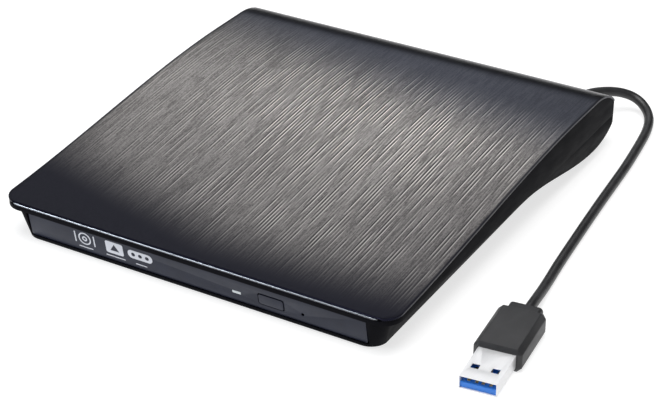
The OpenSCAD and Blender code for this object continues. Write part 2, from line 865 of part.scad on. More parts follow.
module traverse_frame() {
  wall = 1.4;
  color("silver") in_bay()
    at_mechanism()
      difference() {
        union() {
          difference() {
            block([frame_u[0], frame_v[0], frame_z[0]], [frame_u[1], frame_v[1], frame_z[1]]);
            block([frame_u[0] + wall, frame_v[0] + wall, 0],
                  [frame_u[1] - wall, frame_v[1] - wall, 10]);
          }
          block([bar_u[0], frame_v[0] + 0.5, frame_z[0]], [bar_u[1], frame_v[1] - 0.5, 6.8]);
          block([frame_u[0] + 0.5, frame_v[0] + 0.5, frame_z[0]], [bar_u[0] + 0.5, 13.8, frame_z[0] + 0.5]);
          for (p = damper_uv) {
            s = sign(p[1]);
            inner = s > 0 ? frame_v[1] - 0.5 : frame_v[0] + 0.5;
            translate([p[0], p[1], 5.2]) cylinder(r = 2.6, h = 0.7);
            block([p[0] - 2.6, min(p[1], inner), 5.2], [p[0] + 2.6, max(p[1], inner), 5.9]);
          }
        }
        for (p = damper_uv)
          translate([p[0], p[1], 0]) cylinder(r = 1.35, h = 10);
        for (v = rod_v)
          rod_u(v, rod_z, rod_r, bar_u[0] - 1, frame_u[1] - 0.4);
        rod_u(screw_v, rod_z, 1, frame_u[1] - 3, frame_u[1] + 1);
        rod_u(screw_v, rod_z, 1.5, bar_u[0] - 1, bar_u[1] + 1);
        cylinder(r = 2.55, h = 10);
      }
}

module traverse_cover() {
  slot_u = 9;
  color("#3c3c3e") in_bay()
    at_mechanism()
      translate([0, 0, frame_z[1]])
        linear_extrude(1)
          difference() {
            window_plan(-0.3);
            circle(12.2);
            // Slot that the lens travels along
            translate([slot_u, -9]) square([lens_u + sled_travel + 5.4 - slot_u, 18]);
          }
}

module guide_rods() {
  color("white") in_bay()
    at_mechanism()
      for (v = rod_v)
        rod_u(v, rod_z, rod_r, bar_u[0] - 0.4, frame_u[1] - 0.4);
}

module sled_motor() {
  color("lightgray") in_bay()
    at_mechanism()
      difference() {
        intersection() {
          rod_u(screw_v, rod_z, 2.4, frame_u[0] + 1.4, -3);
          block([-20, screw_v - 3, 4.95], [0, screw_v + 3, 7.1]);
        }
        rod_u(screw_v, rod_z, 0.6, -5, 0);
      }
}

module spindle_stator() {
  teeth = 12;
  color("#8a8a8e") in_bay()
    translate([0, hub_y, 0])
      difference() {
        union() {
          translate([0, 0, 4.9]) cylinder(r = 5, h = 1.4);
          translate([0, 0, 4.1]) cylinder(r = 2.5, h = 2.6);
          for (i = [0:teeth - 1])
            rotate([0, 0, 360 * i / teeth]) {
              block([4, -0.5, 5.3], [9.6, 0.5, 5.9]);
              block([9.4, -1.5, 5.1], [10.3, 1.5, 6.1]);
            }
        }
        cylinder(r = 1.03, h = 20);
      }
}

module stator_coils() {
  teeth = 12;
  color("chocolate") in_bay()
    translate([0, hub_y, 0])
      for (i = [0:teeth - 1])
        rotate([0, 0, 360 * i / teeth])
          difference() {
            block([6.2, -1, 5], [9.2, 1, 6.2]);
            block([6, -0.5, 5.3], [9.4, 0.5, 5.9]);
          }
}

module main_board() {
  color("darkgreen") in_bay()
    union() {
      block([-18, -70.4, 4], [57.5, -40, 4.8]);
      block([29, -41, 4], [57.5, 30, 4.8]);
    }
}

module main_chips() {
  color("#1c1c1e") in_bay() {
    block([4, -58, 4.8], [18, -44, 6.1]);
    block([36, -30, 4.8], [46, -20, 6]);
    block([34, 4, 4.8], [42, 14, 6]);
    for (i = [0:5])
      translate([-12 + 5 * i, -64.5, 4.8]) cube([2, 1.2, 0.8]);
  }
}

module ribbon_socket() {
  color("ivory") in_bay() {
    block([-12, -46, 4.8], [2, -42.5, 6.4]);
    block([32, 24, 4.8], [50, 27, 6.4]);
  }
}

module eject_switch() {
  color("#303034") in_bay() {
    block([button_x - 3, -69, 4.8], [button_x + 3, -65.5, 7.3]);
    block([button_x - 0.9, -69.3, 5.6], [button_x + 0.9, -69, 6.6]);
  }
}

module led_lamp() {
  color("palegreen") in_bay() block([led_x - 1, -70.2, 4.8], [led_x + 1, -68.8, 6]);
}

module latch_solenoid() {
  color("darkorange") in_bay() {
    block([-57, -58.5, 3.6], [-46, -52, 7.2]);
    translate([-46, -55.2, 5.6]) rotate([0, 90, 0]) cylinder(r = 0.9, h = 4);
  }
}

module rubber_dampers() {
  color("#404040") in_bay()
    at_mechanism()
      for (p = damper_uv)
        translate([p[0], p[1], 0])
          rotate_extrude()
            polygon([
              [0.9, 4.4], [2, 4.4], [2, 5.2], [1.35, 5.2], [1.35, 5.9], [2, 5.9], [2, 7], [0.9, 7]
            ]);
}

module mechanism_screws() {
  color("silver") in_bay()
    at_mechanism()
      for (p = damper_uv)
        screw_up(p[0], p[1], 4.4, 1.9, 0.9, 0.75, 3.5);
}

// ---------- spindle ----------

module spindle_shaft() {
  color("white") in_bay() translate([0, hub_y, 3.8]) cylinder(r = 1, h = 4.8);
}

module rotor_can() {
  color("silver") in_bay()
    translate([0, hub_y, 0])
      rotate_extrude()
        polygon([[1, 6.9], [11, 6.9], [11, 5.1], [11.5, 5.1], [11.5, 7.2], [11.3, 7.4], [1, 7.4]]);
}

module turntable() {
  color("#303032") in_bay()
    translate([0, hub_y, 0])
      difference() {
        rotate_extrude()
          polygon([
            [0, 8.6], [1, 8.6], [1, 7.4], [3.2, 7.4], [3.2, 8.6], [turntable_r, 8.6], [turntable_r, 9.2],
            [hub_r, 9.2], [hub_r, 10.2], [hub_r - 1.2, 10.8], [2, 10.8], [2, 10.2], [0, 10.2]
          ]);
        for (a = [30, 150, 270])
          rotate([0, 0, a]) translate([6.5, 0, 9.95]) sphere(r = 0.85, $fn = 24);
      }
}

module turntable_ring() {
  color("#454548") in_bay()
    translate([0, hub_y, 9.2])
      difference() {
        cylinder(r = turntable_r - 0.5, h = 0.3);
        translate([0, 0, -1]) cylinder(r = turntable_r - 3, h = 3);
      }
}

module hub_balls() {
  color("silver") in_bay()
    translate([0, hub_y, 0])
      for (a = [30, 150, 270])
        rotate([0, 0, a]) translate([6.5, 0, 9.95]) sphere(r = 0.82, $fn = 24);
}

// ---------- lens sled ----------

module pickup_body() {
  color("#9a9a9e") in_bay()
    at_mechanism()
      difference() {
        union() {
          block([lens_u - 7.4, -11.2, 3.8], [lens_u + 5, 9.2, 6.6]);
          for (v = rod_v)
            block([lens_u - 7.4, v - 2, 4], [lens_u + 5, v + 2, 7]);
          block([lens_u - 7.4, -11.2, 6.2], [lens_u - 4.4, 9.2, 7]);
        }
        for (v = rod_v)
          rod_u(v, rod_z, rod_r + 0.04, 0, 60);
        translate([lens_u, 0, 4.5]) cylinder(r = 3.6, h = 5);
      }
}

module actuator_yoke() {
  color("#505054") in_bay()
    at_mechanism()
      difference() {
        block([lens_u - 4.2, -7.5, 6.6], [lens_u + 4.8, 7.5, 7.1]);
        translate([lens_u, 0, 0]) cylinder(r = 3.9, h = 20);
      }
}

module sled_rack() {
  color("ivory") in_bay()
    at_mechanism() {
      block([lens_u - 6, 13, 5], [lens_u + 2, 15.3, 6.2]);
      block([lens_u - 5, 14, 6.2], [lens_u + 1, 15.5, 7]);
    }
}

module lens_holder() {
  color("#2a2a2e") in_bay()
    at_mechanism()
      translate([lens_u, 0, 0])
        difference() {
          union() {
            translate([0, 0, 6.2]) cylinder(r = 3.2, h = 1.5);
            translate([0, 0, 5]) cylinder(r = 2.6, h = 1.3);
          }
          translate([0, 0, 7.1]) cylinder(r = 2.2, h = 2);
          cylinder(r = 1.6, h = 20);
        }
}

module objective_lens() {
  color("lightblue") in_bay()
    at_mechanism()
      translate([lens_u, 0, 7.1])
        rotate_extrude()
          polygon([[0, 0], [2.2, 0], [2.2, 0.3], [1.8, 0.6], [1, 0.8], [0, 0.85]]);
}

module lead_screw() {
  pitch = 1.5;
  color("white") in_bay()
    at_mechanism()
      union() {
        rod_u(screw_v, rod_z, 0.5, -4.6, -2);
        rod_u(screw_v, rod_z, 0.9, -2, frame_u[1]);
        for (u = [0:pitch:58])
          rod_u(screw_v, rod_z, 1.1, u, u + 0.5);
      }
}

// ---------- button and latch ----------

// Cap, the flange that keeps it in the bezel, and the stem that reaches the switch
module eject_button() {
  flange_w = button_w + 2.6;
  flange_h = button_h + 1.6;
  color("#3a3a44") in_bay() {
    intersection() {
      pill_y(button_x, button_z, button_w, button_h, 0.7, bezel_front_y - 2, flange_y + 0.1);
      behind_face(-0.2);
    }
    block([button_x - flange_w / 2, flange_y, button_z - flange_h / 2],
          [button_x + flange_w / 2, flange_y + 0.7, button_z + flange_h / 2]);
    block([button_x - 1.2, flange_y + 0.6, 5.2], [button_x + 1.2, -70.2, 6.8]);
  }
}

module eject_latch() {
  color("#606066") in_bay()
    translate([latch_xy[0], latch_xy[1], 0])
      difference() {
        union() {
          translate([0, 0, 5]) cylinder(r = 2.4, h = 1.3);
          block([-1.2, hook_y - 0.8 - latch_xy[1], 5], [1.2, 0, 6.3]);
          block([-1, 0, 5], [1, 6.4, 6.3]);
          block([-0.8, hook_y - 0.8 - latch_xy[1], 2.75], [0.8, hook_y + 0.8 - latch_xy[1], 5.1]);
        }
        cylinder(r = 1.05, h = 20);
      }
}

bottom_case();
top_cover();
top_panel();
rubber_feet();
case_screws();
drive_chassis();
drive_lid();
lid_screws();
chassis_rails();
drive_connector();
bridge_board();
bridge_chip();
bridge_parts();
sata_socket();
board_screws();
cable_leads();
flex_ribbon();
cable_strain_relief();
usb_cable();
plug_overmold();
plug_shell();
plug_tongue();
plug_contacts();
slide_rail_left();
slide_rail_right();
tray();
front_bezel();
led_window();
printed_marks();
tray_bottom_cover();
traverse_frame();
traverse_cover();
guide_rods();
sled_motor();
spindle_stator();
stator_coils();
main_board();
main_chips();
ribbon_socket();
eject_switch();
led_lamp();
latch_solenoid();
rubber_dampers();
mechanism_screws();
spindle_shaft();
rotor_can();
turntable();
turntable_ring();
hub_balls();
pickup_body();
actuator_yoke();
sled_rack();
lens_holder();
objective_lens();
lead_screw();
eject_button();
eject_latch();
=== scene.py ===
"""The looks of a slim external disc drive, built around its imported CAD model. Lengths are in metres."""
import json
import math

import bmesh
import bpy
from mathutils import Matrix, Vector


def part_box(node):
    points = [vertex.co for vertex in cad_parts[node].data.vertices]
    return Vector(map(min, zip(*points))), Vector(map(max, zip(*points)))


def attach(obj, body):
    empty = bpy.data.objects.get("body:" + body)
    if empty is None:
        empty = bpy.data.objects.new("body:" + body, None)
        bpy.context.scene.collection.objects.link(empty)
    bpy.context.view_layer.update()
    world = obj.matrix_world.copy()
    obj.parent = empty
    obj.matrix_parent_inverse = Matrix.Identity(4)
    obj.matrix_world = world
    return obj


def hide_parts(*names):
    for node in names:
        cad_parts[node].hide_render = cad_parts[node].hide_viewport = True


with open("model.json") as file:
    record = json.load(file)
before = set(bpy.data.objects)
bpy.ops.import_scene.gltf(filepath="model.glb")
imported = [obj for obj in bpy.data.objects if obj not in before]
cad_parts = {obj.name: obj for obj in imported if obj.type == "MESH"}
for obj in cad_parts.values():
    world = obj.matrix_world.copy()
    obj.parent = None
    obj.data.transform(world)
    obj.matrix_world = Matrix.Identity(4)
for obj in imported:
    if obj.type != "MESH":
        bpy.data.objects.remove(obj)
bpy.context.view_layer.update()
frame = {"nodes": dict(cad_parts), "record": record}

MM = 0.001
scene = bpy.context.scene
scene.view_settings.view_transform = "Standard"


# ---------------------------------------------------------------- camera

CAMERA_AZIMUTH = math.radians(30.87)
CAMERA_ELEVATION = math.radians(29.5)
CAMERA_DISTANCE = 0.7
CAMERA_TARGET = Vector((0, -0.00625, 0))
CAMERA_LENS = 110.7
# The object stands a little left of and above the middle of the picture
CAMERA_SHIFT = (0.0256, -0.0135)
CAMERA_CLIP = (0.05, 20)


def away(azimuth, elevation, distance=1.0):
    """Step of that length towards a direction; azimuth 0 is the front, 90 degrees the right."""
    flat = math.cos(elevation)
    return distance * Vector((math.sin(azimuth) * flat, -math.cos(azimuth) * flat, math.sin(elevation)))


def make_camera():
    data = bpy.data.cameras.new("camera")
    camera = bpy.data.objects.new("camera", data)
    scene.collection.objects.link(camera)
    towards = away(CAMERA_AZIMUTH, CAMERA_ELEVATION, CAMERA_DISTANCE)
    camera.location = CAMERA_TARGET + towards
    camera.rotation_mode = "QUATERNION"
    camera.rotation_quaternion = (-towards).to_track_quat("-Z", "Y")
    data.lens = CAMERA_LENS
    data.shift_x, data.shift_y = CAMERA_SHIFT
    data.clip_start, data.clip_end = CAMERA_CLIP
    scene.camera = camera


make_camera()


# ---------------------------------------------------------------- shader helpers

class Shader:
    """A material's node tree, with short calls for the nodes that the materials share."""

    def __init__(self, name, **constants):
        self.material = bpy.data.materials.new(name)
        self.material.use_nodes = True
        self.tree = self.material.node_tree
        self.surface = self.tree.nodes["Principled BSDF"]
        for key, value in constants.items():
            self.surface.inputs[key.replace("_", " ")].default_value = value

    def node(self, kind, **settings):
        made = self.tree.nodes.new("ShaderNode" + kind)
        for key, value in settings.items():
            if hasattr(made, key):
                setattr(made, key, value)
            else:
                made.inputs[key.replace("_", " ")].default_value = value
        return made

    def link(self, source, target):
        self.tree.links.new(source, target)

    def place(self, scale):
        """Object coordinates, stretched by scale along each axis, so noise has a real size."""
        coordinates = self.node("TexCoord")
        mapping = self.node("Mapping")
        mapping.inputs["Scale"].default_value = scale
        self.link(coordinates.outputs["Object"], mapping.inputs["Vector"])
        return mapping.outputs["Vector"]

    def noise(self, scale, detail=2.0, roughness=0.5):
        """Noise with one cell per unit of scale along each axis, from 0 to 1."""
        noise = self.node("TexNoise", Scale=1.0, Detail=detail, Roughness=roughness)
        self.link(self.place(scale), noise.inputs["Vector"])
        return noise.outputs["Fac"]

    def ramp(self, source, stops):
        """Colours at positions from 0 to 1."""
        ramp = self.node("ValToRGB")
        elements = ramp.color_ramp.elements
        while len(elements) < len(stops):
            elements.new(0.5)
        for element, (position, colour) in zip(elements, stops):
            element.position = position
            element.color = (*colour, 1) if len(colour) == 3 else (colour[0],) * 3 + (1,)
        self.link(source, ramp.inputs["Fac"])
        return ramp.outputs["Color"]

    def spread(self, source, low, high, start=0.0, end=1.0):
        """Maps start..end to low..high."""
        made = self.node("MapRange")
        made.inputs["From Min"].default_value = start
        made.inputs["From Max"].default_value = end
        made.inputs["To Min"].default_value = low
        made.inputs["To Max"].default_value = high
        self.link(source, made.inputs["Value"])
        return made.outputs["Result"]

    def maths(self, operation, first, second):
        made = self.node("Math", operation=operation)
        for value, socket in ((first, made.inputs[0]), (second, made.inputs[1])):
            if isinstance(value, (int, float)):
                socket.default_value = value
            else:
                self.link(value, socket)
        return made.outputs["Value"]

    def mix(self, factor, first, second):
        made = self.node("Mix", data_type="RGBA")
        self.link(factor, made.inputs[0])
        for colour, socket in ((first, made.inputs[6]), (second, made.inputs[7])):
            if isinstance(colour, tuple):
                socket.default_value = (*colour, 1)
            else:
                self.link(colour, socket)
        return made.outputs[2]

    def colour(self, source):
        self.link(source, self.surface.inputs["Base Color"])

    def roughness(self, source):
        self.link(source, self.surface.inputs["Roughness"])

    def bump(self, height, depth, strength=1.0):
        """Relief of that real depth in metres."""
        bump = self.node("Bump", Strength=strength, Distance=depth)
        self.link(height, bump.inputs["Height"])
        self.link(bump.outputs["Normal"], self.surface.inputs["Normal"])


def cells(x, y=None, z=None):
    """Noise scale whose cells are x by y by z millimetres."""
    y = x if y is None else y
    z = x if z is None else z
    return (1 / (x * MM), 1 / (y * MM), 1 / (z * MM))


# ---------------------------------------------------------------- materials

# Where painted shade and a painted crest reflection change the top plate's colour. Pairs are where a
# change starts and ends.
FRONT_FADE = (2 * MM, 36 * MM)  # behind the front edge
FRONT_FADE_SLANT = 0.25         # how much further back it lies to the left
SLOPE_FADE = (-50 * MM, 25 * MM)  # along the slope, from duller to full
CREST_FADE = (26 * MM, 62 * MM)
CREST_FADE_SLANT = 0.16         # how much further forward it lies to the right
NOSE_FADE = (62 * MM, 70 * MM)
RIGHT_FADE_START = 28 * MM
SIDE_RIM = (1.2 * MM, 0.3 * MM)  # from the side edges
CRISP_FADE = (-75 * MM, -5 * MM)  # from the left, from faint hairlines to full ones

# Painted highlight along the lip, as distances from the front edge
PAINTED_LIP_HIGHLIGHT = (0.1 * MM, 0.16 * MM)
PAINTED_LIP_HIGHLIGHT_SOFT = 0.1 * MM

# Pitch and length of the plate's hairlines, and of the faint streaks between them
HAIR_PITCH, HAIR_LENGTH = 1.15 * MM, 24 * MM
STREAK_PITCH, STREAK_LENGTH = 0.33 * MM, 6 * MM
# Neighbouring hairlines are shifted by up to this many lengths, so their ends rarely line up
HAIR_SHIFT = 7.0


def fade(s, source, start, end):
    """From 0 at start to 1 at end, with soft ends."""
    made = s.node("MapRange", interpolation_type="SMOOTHSTEP")
    made.inputs["From Min"].default_value = start
    made.inputs["From Max"].default_value = end
    s.link(source, made.inputs["Value"])
    return made.outputs["Result"]


def plate_painted_shade(s, x, y, front, half):
    """How much painted shade darkens the plate, 1 for none: dark along the front, the nose and the sides,
    less light to the right.
    """
    slanted = s.maths("ADD", y, s.maths("MULTIPLY", s.maths("MINIMUM", x, 0.0), FRONT_FADE_SLANT))
    painted_shade = s.maths("MULTIPLY", fade(s, slanted, front + FRONT_FADE[0], front + FRONT_FADE[1]),
                   s.spread(fade(s, y, *SLOPE_FADE), 0.62, 1))
    painted_shade = s.maths("MULTIPLY", painted_shade, s.spread(fade(s, x, RIGHT_FADE_START, half), 1, 0.75))
    painted_shade = s.maths("MULTIPLY", painted_shade, s.spread(fade(s, y, *NOSE_FADE), 1, 0.1))
    rim = fade(s, s.maths("ABSOLUTE", x, 0.0), half - SIDE_RIM[0], half - SIDE_RIM[1])
    return s.maths("MULTIPLY", painted_shade, s.spread(rim, 1, 0.1))


def hairlines(s, x, y, pitch, length):
    """Hairlines along Y: a random number for each, 1 at its middle and 0 at its ends, 0 to 1 across."""
    across = s.maths("DIVIDE", x, pitch)
    line = s.maths("FLOOR", across, 0.0)
    shift = s.node("TexWhiteNoise", noise_dimensions="1D")
    s.link(line, shift.inputs["W"])
    along = s.maths("ADD", s.maths("DIVIDE", y, length),
                    s.maths("MULTIPLY", shift.outputs["Value"], HAIR_SHIFT))
    where = s.node("CombineXYZ")
    s.link(line, where.inputs["X"])
    s.link(s.maths("FLOOR", along, 0.0), where.inputs["Y"])
    chance = s.node("TexWhiteNoise", noise_dimensions="2D")
    s.link(where.outputs["Vector"], chance.inputs["Vector"])
    middle = fade(s, s.maths("PINGPONG", along, 0.5), 0.0, 0.3)
    return chance.outputs["Value"], middle, s.maths("FRACT", across, 0.0)


def hairline_finish(s, x, y, painted_shade, grain):
    """Grained metal with hairlines, each painted with a shaded and a highlighted flank, that gives way to
    a painted dark bluish reflection on the crest.
    """
    clouds = s.noise(cells(9, 60, 60), detail=2)
    streaks = hairlines(s, x, y, STREAK_PITCH, STREAK_LENGTH)[0]
    chance, middle, across = hairlines(s, x, y, HAIR_PITCH, HAIR_LENGTH)
    mixed = s.maths("ADD", s.maths("MULTIPLY", grain, 0.6),
                    s.maths("ADD", s.maths("MULTIPLY", streaks, 0.2), s.maths("MULTIPLY", clouds, 0.2)))
    plain = s.ramp(mixed, [(0.38, (0.165, 0.155, 0.15)), (0.62, (0.42, 0.4, 0.388))])
    # The hairlines are the metal's grain; their black flank is painted shade and their white flank a
    # painted highlight.
    black, middling, white = (0.004, 0.004, 0.004), (0.27, 0.255, 0.248), (1, 0.96, 0.92)
    painted_flank_light_and_shade = s.ramp(across, [(0.06, middling), (0.1, black), (0.46, black), (0.5, white),
                             (0.8, white), (0.84, middling)])
    drawn = s.mix(s.maths("MULTIPLY", s.spread(chance, 0, 1, 0.15, 0.7), middle), plain, painted_flank_light_and_shade)
    # The hairlines fade out under the painted shade, and towards the left.
    crisp = s.maths("MULTIPLY", s.maths("POWER", painted_shade, 0.4),
                    s.spread(fade(s, x, *CRISP_FADE), 0.3, 1))
    # Painted reflection: dark bluish colour that replaces the hairlines over the crest.
    painted_crest_reflection = s.ramp(mixed, [(0.36, (0.078, 0.083, 0.108)), (0.64, (0.145, 0.149, 0.182))])
    painted_crest_mask = fade(s, s.maths("ADD", y, s.maths("MULTIPLY", x, CREST_FADE_SLANT)), *CREST_FADE)
    return s.mix(painted_crest_mask, s.mix(crisp, plain, drawn), painted_crest_reflection)


def painted_lip_highlight_mask(s, y, front):
    """1 on the painted highlight along the lip, 0 elsewhere."""
    from_lip = s.maths("SUBTRACT", y, front)
    return s.maths("MULTIPLY", s.spread(from_lip, 0, 1, PAINTED_LIP_HIGHLIGHT[0] - PAINTED_LIP_HIGHLIGHT_SOFT, PAINTED_LIP_HIGHLIGHT[0]),
                   s.spread(from_lip, 1, 0, PAINTED_LIP_HIGHLIGHT[1], PAINTED_LIP_HIGHLIGHT[1] + PAINTED_LIP_HIGHLIGHT_SOFT))


def brushed_plate():
    """Dark metal with a hairline finish from front to back, with painted shade that darkens it towards
    its ends.
    """
    s = Shader("brushed_plate", Metallic=1.0, Anisotropic=0.7)
    low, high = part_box("top_panel")
    front, half = low[1], high[0]
    axes = s.node("SeparateXYZ")
    s.link(s.place((1, 1, 1)), axes.inputs["Vector"])
    x, y = axes.outputs["X"], axes.outputs["Y"]
    grain = s.noise(cells(0.45, 1, 1), detail=2, roughness=0.7)
    painted_shade = plate_painted_shade(s, x, y, front, half)
    # Painted shade: near-black blue mixed in where the plate's reflections are dark.
    painted_shade_colour = s.mix(painted_shade, (0.0095, 0.0098, 0.018), hairline_finish(s, x, y, painted_shade, grain))
    # A pale painted highlight along the lip, over the painted shade.
    s.colour(s.mix(painted_lip_highlight_mask(s, y, front), painted_shade_colour, (0.46, 0.46, 0.48)))
    s.roughness(s.spread(grain, 0.28, 0.4, 0.3, 0.7))
    sideways = s.node("CombineXYZ", X=1.0, Y=0.0, Z=0.0)
    s.link(sideways.outputs["Vector"], s.surface.inputs["Tangent"])
    s.bump(grain, 0.006 * MM, 0.4)
    return s.material


def moulded(name, colour, roughness, grain=0.12, depth=0.006, tint=0.25, **constants):
    """Moulded plastic: fine spark-eroded grain, faint cloudy colour and rubbed patches."""
    s = Shader(name, **constants)
    grain_noise = s.noise(cells(grain), detail=3, roughness=0.65)
    clouds = s.noise(cells(9), detail=3)
    rubbed = s.noise(cells(3.5, 11, 3.5), detail=4, roughness=0.6)
    low = tuple(c * (1 - tint) for c in colour)
    high = tuple(min(1, c * (1 + tint)) for c in colour)
    speck = s.maths("ADD", s.maths("MULTIPLY", clouds, 0.6), s.maths("MULTIPLY", grain_noise, 0.4))
    s.colour(s.ramp(speck, [(0.3, low), (0.7, high)]))
    s.roughness(s.spread(rubbed, roughness - 0.07, roughness + 0.06, 0.3, 0.7))
    s.bump(grain_noise, depth * MM, 0.8)
    return s.material


def sheet_metal(name, colour, roughness, grain=(0.15, 6, 0.15), metallic=1.0, tint=0.18):
    """Rolled or ground metal with a directional grain and slight stains."""
    s = Shader(name, Metallic=metallic)
    lines = s.noise(cells(*grain), detail=3, roughness=0.6)
    stains = s.noise(cells(12), detail=3)
    low = tuple(c * (1 - tint) for c in colour)
    high = tuple(min(1, c * (1 + tint)) for c in colour)
    blend = s.maths("ADD", s.maths("MULTIPLY", lines, 0.5), s.maths("MULTIPLY", stains, 0.5))
    s.colour(s.ramp(blend, [(0.35, low), (0.65, high)]))
    s.roughness(s.spread(stains, roughness - 0.06, roughness + 0.08, 0.3, 0.7))
    s.bump(lines, 0.004 * MM, 0.6)
    return s.material


def cable_jacket():
    """Soft extruded jacket with a fine satin grain and dusty patches."""
    s = Shader("cable_jacket")
    grain = s.noise(cells(0.25), detail=4, roughness=0.7)
    clouds = s.noise(cells(6), detail=2)
    s.colour(s.ramp(clouds, [(0.3, (0.016, 0.016, 0.017)), (0.7, (0.03, 0.03, 0.032))]))
    s.roughness(s.spread(grain, 0.34, 0.5, 0.3, 0.7))
    s.bump(grain, 0.01 * MM, 0.7)
    return s.material


def circuit_board():
    """Green solder mask over copper tracks that run in short straight steps."""
    s = Shader("circuit_board", Roughness=0.35, Coat_Weight=0.4, Coat_Roughness=0.2)
    tracks = s.node("TexBrick", Scale=1.0, Mortar_Size=0.09, Mortar_Smooth=0.1)
    tracks.offset = 0.37
    tracks.inputs["Color1"].default_value = (0.012, 0.11, 0.045, 1)
    tracks.inputs["Color2"].default_value = (0.015, 0.13, 0.055, 1)
    tracks.inputs["Mortar"].default_value = (0.03, 0.22, 0.08, 1)
    s.link(s.place(cells(1.4)), tracks.inputs["Vector"])
    clouds = s.noise(cells(5), detail=2)
    s.colour(s.mix(s.spread(clouds, 0, 0.5, 0.3, 0.7), tracks.outputs["Color"], (0.01, 0.09, 0.04)))
    s.bump(tracks.outputs["Fac"], 0.03 * MM, 0.5)
    return s.material


def clear_plastic():
    """Milky light pipe."""
    s = Shader("light_pipe", IOR=1.49, Coat_Weight=0.5)
    clouds = s.noise(cells(1.6), detail=2)
    s.colour(s.ramp(clouds, [(0.3, (0.62, 0.66, 0.68)), (0.7, (0.82, 0.85, 0.86))]))
    s.roughness(s.spread(clouds, 0.22, 0.34))
    return s.material


def lens_glass():
    """Coated lens with a faint violet bloom."""
    s = Shader("lens_glass", IOR=1.55, Transmission_Weight=0.85, Coat_Weight=0.6)
    bloom = s.noise(cells(1.5), detail=1)
    s.colour(s.ramp(bloom, [(0.3, (0.45, 0.5, 0.85)), (0.7, (0.6, 0.55, 0.9))]))
    s.roughness(s.spread(bloom, 0.02, 0.06))
    return s.material


MATERIALS = {
    "brushed_plate": brushed_plate(),
    "shell_plastic": moulded("shell_plastic", (0.005, 0.005, 0.0068), 0.55, Specular_IOR_Level=0.03),
    "bezel_plastic": moulded("bezel_plastic", (0.019, 0.022, 0.038), 0.4, grain=0.2, depth=0.003,
                             Specular_IOR_Level=0.28),
    "tray_plastic": moulded("tray_plastic", (0.028, 0.028, 0.03), 0.44),
    "foot_rubber": moulded("foot_rubber", (0.03, 0.03, 0.031), 0.8, grain=0.3, depth=0.02),
    "cable_rubber": cable_jacket(),
    "plug_plastic": moulded("plug_plastic", (0.026, 0.026, 0.028), 0.5, grain=0.16, depth=0.008),
    "plug_steel": sheet_metal("plug_steel", (0.9, 0.9, 0.91), 0.42, grain=(0.1, 4, 0.1), metallic=0.5,
                              tint=0.04),
    "insulator_plastic": moulded("insulator_plastic", (0.03, 0.22, 0.78), 0.35, tint=0.12),
    "contact_brass": sheet_metal("contact_brass", (0.83, 0.6, 0.24), 0.25),
    "screw_steel": sheet_metal("screw_steel", (0.42, 0.42, 0.43), 0.34, grain=(0.2, 0.2, 0.2)),
    "stamped_steel": sheet_metal("stamped_steel", (0.6, 0.6, 0.59), 0.36, grain=(8, 0.2, 0.2)),
    "rail_steel": sheet_metal("rail_steel", (0.55, 0.55, 0.56), 0.3),
    "core_steel": sheet_metal("core_steel", (0.2, 0.2, 0.21), 0.5, grain=(3, 3, 0.12)),
    "rod_chrome": sheet_metal("rod_chrome", (0.75, 0.75, 0.76), 0.12, grain=(0.3, 0.3, 0.3), tint=0.05),
    "cast_alloy": sheet_metal("cast_alloy", (0.52, 0.52, 0.54), 0.48, grain=(0.4, 0.4, 0.4)),
    "circuit_board": circuit_board(),
    "chip_epoxy": moulded("chip_epoxy", (0.024, 0.024, 0.025), 0.6, grain=0.08),
    "tinned_metal": sheet_metal("tinned_metal", (0.7, 0.7, 0.69), 0.3, grain=(0.5, 0.5, 0.5)),
    "connector_plastic": moulded("connector_plastic", (0.03, 0.03, 0.034), 0.5),
    "ivory_plastic": moulded("ivory_plastic", (0.72, 0.67, 0.55), 0.42, tint=0.08),
    "wire_plastic": moulded("wire_plastic", (0.4, 0.4, 0.4), 0.4, tint=0.1),
    "ribbon_film": moulded("ribbon_film", (0.5, 0.25, 0.06), 0.25, tint=0.15),
    "coil_copper": sheet_metal("coil_copper", (0.62, 0.26, 0.1), 0.32, grain=(0.15, 0.15, 3)),
    "light_pipe": clear_plastic(),
    "white_ink": moulded("white_ink", (0.66, 0.67, 0.72), 0.6, grain=0.1, tint=0.1),
    "lens_glass": lens_glass(),
}


def dress(obj, name):
    """Gives a piece its material."""
    obj.data.materials.clear()
    obj.data.materials.append(MATERIALS[name])


# ---------------------------------------------------------------- modifiers and meshes

# Edges that turn less than this are shaded smooth, and the others are bevelled
SHARP_ANGLE = math.radians(32)
# Faces that turn less than this are joined into one
FLAT_ANGLE = math.radians(0.6)
WELD_GAP = 0.0005 * MM


def smooth_by_angle_group():
    """Node group that shades smooth across edges under the sharp angle."""
    group = bpy.data.node_groups.new("smooth_by_angle", "GeometryNodeTree")
    group.interface.new_socket("Geometry", in_out="INPUT", socket_type="NodeSocketGeometry")
    group.interface.new_socket("Geometry", in_out="OUTPUT", socket_type="NodeSocketGeometry")
    source = group.nodes.new("NodeGroupInput")
    target = group.nodes.new("NodeGroupOutput")
    angle = group.nodes.new("GeometryNodeInputMeshEdgeAngle")
    less = group.nodes.new("FunctionNodeCompare")
    less.operation = "LESS_THAN"
    less.inputs[1].default_value = SHARP_ANGLE
    faces = group.nodes.new("GeometryNodeSetShadeSmooth")
    faces.domain = "FACE"
    edges = group.nodes.new("GeometryNodeSetShadeSmooth")
    edges.domain = "EDGE"
    group.links.new(source.outputs[0], faces.inputs["Geometry"])
    group.links.new(faces.outputs["Geometry"], edges.inputs["Geometry"])
    group.links.new(angle.outputs["Unsigned Angle"], less.inputs[0])
    group.links.new(less.outputs["Result"], edges.inputs["Shade Smooth"])
    group.links.new(edges.outputs["Geometry"], target.inputs[0])
    return group


SMOOTHING = smooth_by_angle_group()


